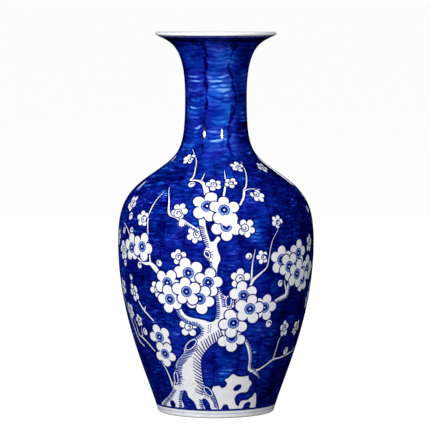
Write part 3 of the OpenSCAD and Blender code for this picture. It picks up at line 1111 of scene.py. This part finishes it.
def washed(name, darkness):
    paint = Paint(name)
    return paint.glaze(cobalt(paint, darkness))


def pooled(name, size, seed, dark, light):
    """A blue that lies thick in some places and thin in others."""
    paint = Paint(name)
    return paint.glaze(paint.ramp(paint.noise(size, detail=3, seed=seed), [(0.3, dark), (0.7, light)]))


def white_slip():
    paint = Paint("white_slip")
    mottle = paint.noise(4, detail=4, seed=2) * 0.6 + paint.noise(16, detail=2, seed=9) * 0.4
    return paint.glaze(paint.ramp(mottle, [(0.3, (0.66, 0.67, 0.705)), (0.5, (0.75, 0.758, 0.785)),
                                           (0.72, (0.815, 0.825, 0.85))]))


def stamens():
    """The soft blue halo of a flower's eye, with strokes that run out from its middle."""
    paint = Paint("stamens")
    local = paint.tree.nodes.new("ShaderNodeAttribute")
    local.attribute_name = "flower"
    split = paint.tree.nodes.new("ShaderNodeSeparateXYZ")
    paint.tree.links.new(local.outputs["Vector"], split.inputs[0])
    x, y = Field(paint.tree, split.outputs[0]), Field(paint.tree, split.outputs[1])
    reach = (x * x + y * y).power(0.5)
    spoke = x.math("ARCTAN2", y) * (17 / math.tau) + (paint.noise(2.5, seed=1) - 0.5) * 1.6
    spoke = (spoke - spoke.floor() - 0.5).abs().smooth(0.4, 0.12)
    rough = (paint.noise(1.5, detail=2, seed=5) - 0.5) * 0.45
    core = (reach + rough - spoke * 0.2).smooth(0.7, 0.42)
    strokes = spoke * reach.smooth(0.98, 0.6) * 0.62
    outline = (reach - 0.92).abs().smooth(0.12, 0.04) * paint.noise(3, seed=4).smooth(0.3, 0.55, 0.5, 0.95)
    value = core.math("MAXIMUM", strokes).math("MAXIMUM", outline).clamped()
    return paint.glaze(paint.ramp(value, [
        (0, (0.31, 0.45, 0.76)), (0.3, (0.12, 0.21, 0.56)), (0.6, (0.03, 0.06, 0.34)),
        (1, (0.001, 0.006, 0.15))]))


def bare_clay():
    paint = Paint("bare_clay")
    grain = paint.noise(0.8, detail=4, seed=1) * 0.5 + paint.noise(9, detail=3, seed=2) * 0.5
    colour = paint.ramp(grain, [(0.3, (0.62, 0.56, 0.48)), (0.7, (0.80, 0.77, 0.71))])
    paint.tree.links.new(colour, paint.shader.inputs["Base Color"])
    paint.shader.inputs["Roughness"].default_value = 0.75
    paint.bump(paint.noise(0.5, detail=5, seed=3), 0.06, ("Normal",))
    return paint.material


materials = [   # in the order of WASH, DEEP, INK and so on
    washed("cobalt_wash", 0),
    washed("deep_wash", 0.24),
    pooled("ink", 3.5, 2, (0.002, 0.005, 0.10), (0.006, 0.018, 0.26)),
    white_slip(),
    stamens(),
    pooled("brush_blue", 3, 6, (0.004, 0.010, 0.13), (0.018, 0.040, 0.26)),
    pooled("soft_blue", 3, 7, (0.24, 0.30, 0.55), (0.52, 0.58, 0.80)),
    pooled("pale_line", 6, 6, (0.13, 0.15, 0.38), (0.42, 0.45, 0.66)),
    bare_clay(),
]

# ---------------- the pieces


def cone_normal(low, high):
    """Square to the way from low to high, on its right; both are (radius, height)."""
    return unit(high[1] - low[1], low[0] - high[0])


def seat_below(shell, low_ring, inner, height):
    """The seat at a section's foot, from a point of the inside out to the painted face at this height."""
    outer = (radius_at(length_at(height)), height)
    shell.zip_rings(ring(inner), wrap(low_ring), cone_normal(inner, outer), BARE)


def seat_above(shell, high_ring, inner, height):
    """The seat at a section's top, from its painted face in to a point of the inside."""
    outer = (radius_at(length_at(height)), height)
    shell.zip_rings(wrap(high_ring), ring(inner), cone_normal(outer, inner), BARE)


def painted_section(node, low_z, high_z):
    """A section of the wall between two seats, painted outside and white inside."""
    shell = Shell(node + "_painted")
    low_ring, high_ring = shell.painted(length_at(low_z), length_at(high_z))
    bottom, top = shell.inside(low_z + SEAT_RISE, high_z + SEAT_RISE)
    seat_below(shell, low_ring, bottom, low_z)
    seat_above(shell, high_ring, top, high_z)
    shell.make(node)


def lower_body():
    """The lowest painted section, whose inside rounds in to meet the base."""
    shell = Shell("lower_body_painted")
    low_ring, high_ring = shell.painted(length_at(BAND_Z), length_at(BELLY_Z))
    bottom, top = shell.inside(BASE_TOP_Z + COVE_H, BELLY_Z + SEAT_RISE)
    corner = (bottom[0] - 1.2, BASE_TOP_Z)
    arms = [bottom, (corner[0], BASE_TOP_Z + 2.4), corner, (BASE_R, BASE_TOP_Z)]
    cove = []
    for i in range(COVE_STEPS + 1):
        t = i / COVE_STEPS
        weights = ((1 - t) ** 3, 3 * (1 - t) ** 2 * t, 3 * (1 - t) * t * t, t ** 3)
        cove.append([sum(w * p[axis] for w, p in zip(weights, arms)) for axis in (0, 1)])
    shell.turned(cove, WHITE)
    inner_foot = (BASE_R, BAND_Z)
    shell.turned([(BASE_R, BASE_TOP_Z), inner_foot], BARE)
    seat_below(shell, low_ring, inner_foot, BAND_Z)
    seat_above(shell, high_ring, top, BELLY_Z)
    shell.make("lower_body")


def mouth_rim():
    """The flared lip, fully rounded, with the painted lines below it."""
    shell = Shell("mouth_rim_painted")
    low_ring, high_ring = shell.painted(length_at(MOUTH_Z), float(LENGTH[-1]))
    lip = arc(LIP_CENTRE, LIP_R, LIP_LEAN - 90, LIP_LEAN + 90, LIP_STEPS)
    bottom, top = shell.inside(MOUTH_Z + SEAT_RISE, float(INNER[-1][1]))
    lip[-1] = top
    shell.zip_rings(wrap(high_ring), ring(lip[1]), unit(cos(LIP_LEAN - 84), sin(LIP_LEAN - 84)), WHITE)
    middles = [LIP_LEAN - 90 + 180 * (i + 0.5) / LIP_STEPS for i in range(1, LIP_STEPS)]
    shell.turned(lip[1:], [PALE if LIP_LINE[0] < a < LIP_LINE[1] else WHITE for a in middles])
    seat_below(shell, low_ring, bottom, MOUTH_Z)
    shell.make("mouth_rim")


def arc(centre, radius, start, end, steps):
    """Points round a centre from one direction to another."""
    return [(centre[0] + radius * cos(start + (end - start) * i / steps),
             centre[1] + radius * sin(start + (end - start) * i / steps)) for i in range(steps + 1)]


def foot_ring():
    """The foot, glazed on its sides and bare where it stands."""
    shell = Shell("foot_ring_turned")
    inner_r = radius_at(length_at(BAND_Z)) - FOOT_RING_W
    edge = radius_at(length_at(FOOT_ROUND))
    bottom = arc((inner_r + RING_ROUND, RING_ROUND), RING_ROUND, 180, 270, 6)
    side = arc((edge - FOOT_ROUND, FOOT_ROUND), FOOT_ROUND, -90, 0, 8)
    start, end = length_at(FOOT_ROUND + 0.6), length_at(BAND_Z)
    lengths = [start + (end - start) * i / 12 for i in range(13)]
    wall = [(radius_at(length), float(at_length(OUTER[:, 1], length))) for length in lengths]
    outline = [(inner_r, RECESS_Z)] + bottom + side + wall
    paints = []
    for low, high in zip(outline, outline[1:]):
        middle = (low[1] + high[1]) / 2
        if low[0] > edge - 1 and middle > BARE_OUTSIDE_Z:
            paints.append(PALE if FOOT_LINE_Z[0] < middle < FOOT_LINE_Z[1] else WHITE)
        else:
            paints.append(BARE if middle < BARE_INSIDE_Z else WHITE)
    shell.turned(outline, paints)
    shell.turned([wall[-1], (BASE_R, BAND_Z), (BASE_R, RECESS_Z), (inner_r, RECESS_Z)], BARE, smooth=False)
    shell.make("foot_ring")


def base_disc():
    """The floor, glazed above and below, with a bare edge on the foot's ledge."""
    shell = Shell("base_disc_turned")
    under = [(r, RECESS_Z) for r in (0, BASE_R * 0.33, BASE_R * 0.66, BASE_R)]
    over = [(r, BASE_TOP_Z) for r in (BASE_R, BASE_R * 0.66, BASE_R * 0.33, 0)]
    shell.turned(under, WHITE, smooth=False)
    shell.turned([under[-1], over[0]], BARE, smooth=False)
    shell.turned(over, WHITE, smooth=False)
    shell.make("base_disc")


foot_ring()
base_disc()
lower_body()
painted_section("upper_body", BELLY_Z, NECK_Z)
painted_section("neck", NECK_Z, MOUTH_Z)
mouth_rim()

# ---------------- the studio


def glow_to_the_eye(tree, strength):
    """A strength that only the camera's own rays see."""
    rays = tree.nodes.new("ShaderNodeLightPath")
    scale = tree.nodes.new("ShaderNodeMath")
    scale.operation = "MULTIPLY"
    scale.inputs[1].default_value = strength
    tree.links.new(rays.outputs["Is Camera Ray"], scale.inputs[0])
    return scale.outputs[0]


def pale_floor(radius, grey, glow):
    """A wide disc to stand on. It looks almost white, and lights the pot only a little."""
    mesh = bpy.data.meshes.new("floor")
    turns = [360 * i / 64 for i in range(64)]
    mesh.from_pydata([(radius * cos(a), radius * sin(a), 0) for a in turns], [], [list(range(64))])
    made = bpy.data.objects.new("floor", mesh)
    bpy.context.scene.collection.objects.link(made)
    material = bpy.data.materials.new("floor")
    material.use_nodes = True
    tree = material.node_tree
    shader = tree.nodes["Principled BSDF"]
    shader.inputs["Base Color"].default_value = (grey, grey, grey, 1)
    shader.inputs["Roughness"].default_value = 0.9
    shader.inputs["Specular IOR Level"].default_value = 0
    shader.inputs["Emission Color"].default_value = (1, 1, 1, 1)
    tree.links.new(glow_to_the_eye(tree, glow), shader.inputs["Emission Strength"])
    mesh.materials.append(material)
    made.visible_glossy = False
    made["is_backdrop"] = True


def white_room(eye, soft):
    """A plain white room: bright to the eye, a soft light to the pot, and unseen in its glaze."""
    world = bpy.data.worlds.new("room")
    bpy.context.scene.world = world
    world.use_nodes = True
    tree = world.node_tree
    background = tree.nodes["Background"]
    background.inputs["Color"].default_value = (1, 1, 1, 1)
    rays = tree.nodes.new("ShaderNodeLightPath")
    scale = tree.nodes.new("ShaderNodeMath")
    scale.operation = "MULTIPLY_ADD"
    scale.inputs[1].default_value = soft
    tree.links.new(rays.outputs["Is Diffuse Ray"], scale.inputs[0])
    tree.links.new(glow_to_the_eye(tree, eye), scale.inputs[2])
    tree.links.new(scale.outputs[0], background.inputs["Strength"])


def softbox(name, azimuth, elevation, distance, width, height, power, target_z, mirrored):
    """An oval light. Azimuth is as seen from above, 0 in front of the vase and growing to the right."""
    light = bpy.data.lights.new(name, "AREA")
    light.shape = "ELLIPSE"
    light.size, light.size_y, light.energy = width, height, power
    made = bpy.data.objects.new(name, light)
    bpy.context.scene.collection.objects.link(made)
    made.visible_glossy = mirrored
    way = Vector((sin(azimuth) * cos(elevation), -cos(azimuth) * cos(elevation), sin(elevation)))
    made.location = Vector((0, 0, target_z)) + way * distance
    made.rotation_euler = way.to_track_quat("Z", "Y").to_euler()


pale_floor(radius=400, grey=0.16, glow=0.94)
white_room(eye=1, soft=0.22)
LAMPS = [   # name, azimuth, elevation, distance, width, height, watts, height aimed at, seen in the glaze
    ("left_lamp", -40.5, 12.5, 1.54, 0.12, 0.15, 18.5, 0.265, True),
    ("right_lamp", 21, 14, 1.54, 0.18, 0.23, 12.2, 0.265, True),
    ("top_fill", -12, 58, 2, 1.2, 1.2, 15, 0.2, False),
    ("back_fill", 180, 18, 2.2, 1.5, 1.5, 24, 0.2, False),
    ("right_backdrop", 169, 8.5, 2.4, 0.34, 0.17, 0.5, 0.25, True),
    ("left_backdrop", -158, 16.2, 2.4, 0.25, 0.12, 0.3, 0.22, True),
]
for lamp in LAMPS:
    softbox(*lamp)

# ---------------- the camera

CAMERA_DISTANCE = 2.65
CAMERA_HEIGHT = 0.392
CAMERA_TILT = 4.433      # degrees below the horizon
SENSOR = 36
LENS = 234.4
SHIFT = -0.0021          # the axis is a little right of the picture's middle

camera_data = bpy.data.cameras.new("camera")
camera_data.sensor_width = SENSOR
camera_data.lens = LENS
camera_data.shift_x = SHIFT
camera_data.clip_start = 0.05
camera_data.clip_end = 1000
camera = bpy.data.objects.new("camera", camera_data)
camera.location = (0, -CAMERA_DISTANCE, CAMERA_HEIGHT)
camera.rotation_euler = (math.radians(90 - CAMERA_TILT), 0, 0)
bpy.context.scene.collection.objects.link(camera)
bpy.context.scene.camera = camera
bpy.context.scene.view_settings.view_transform = "Standard"

low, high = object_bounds()
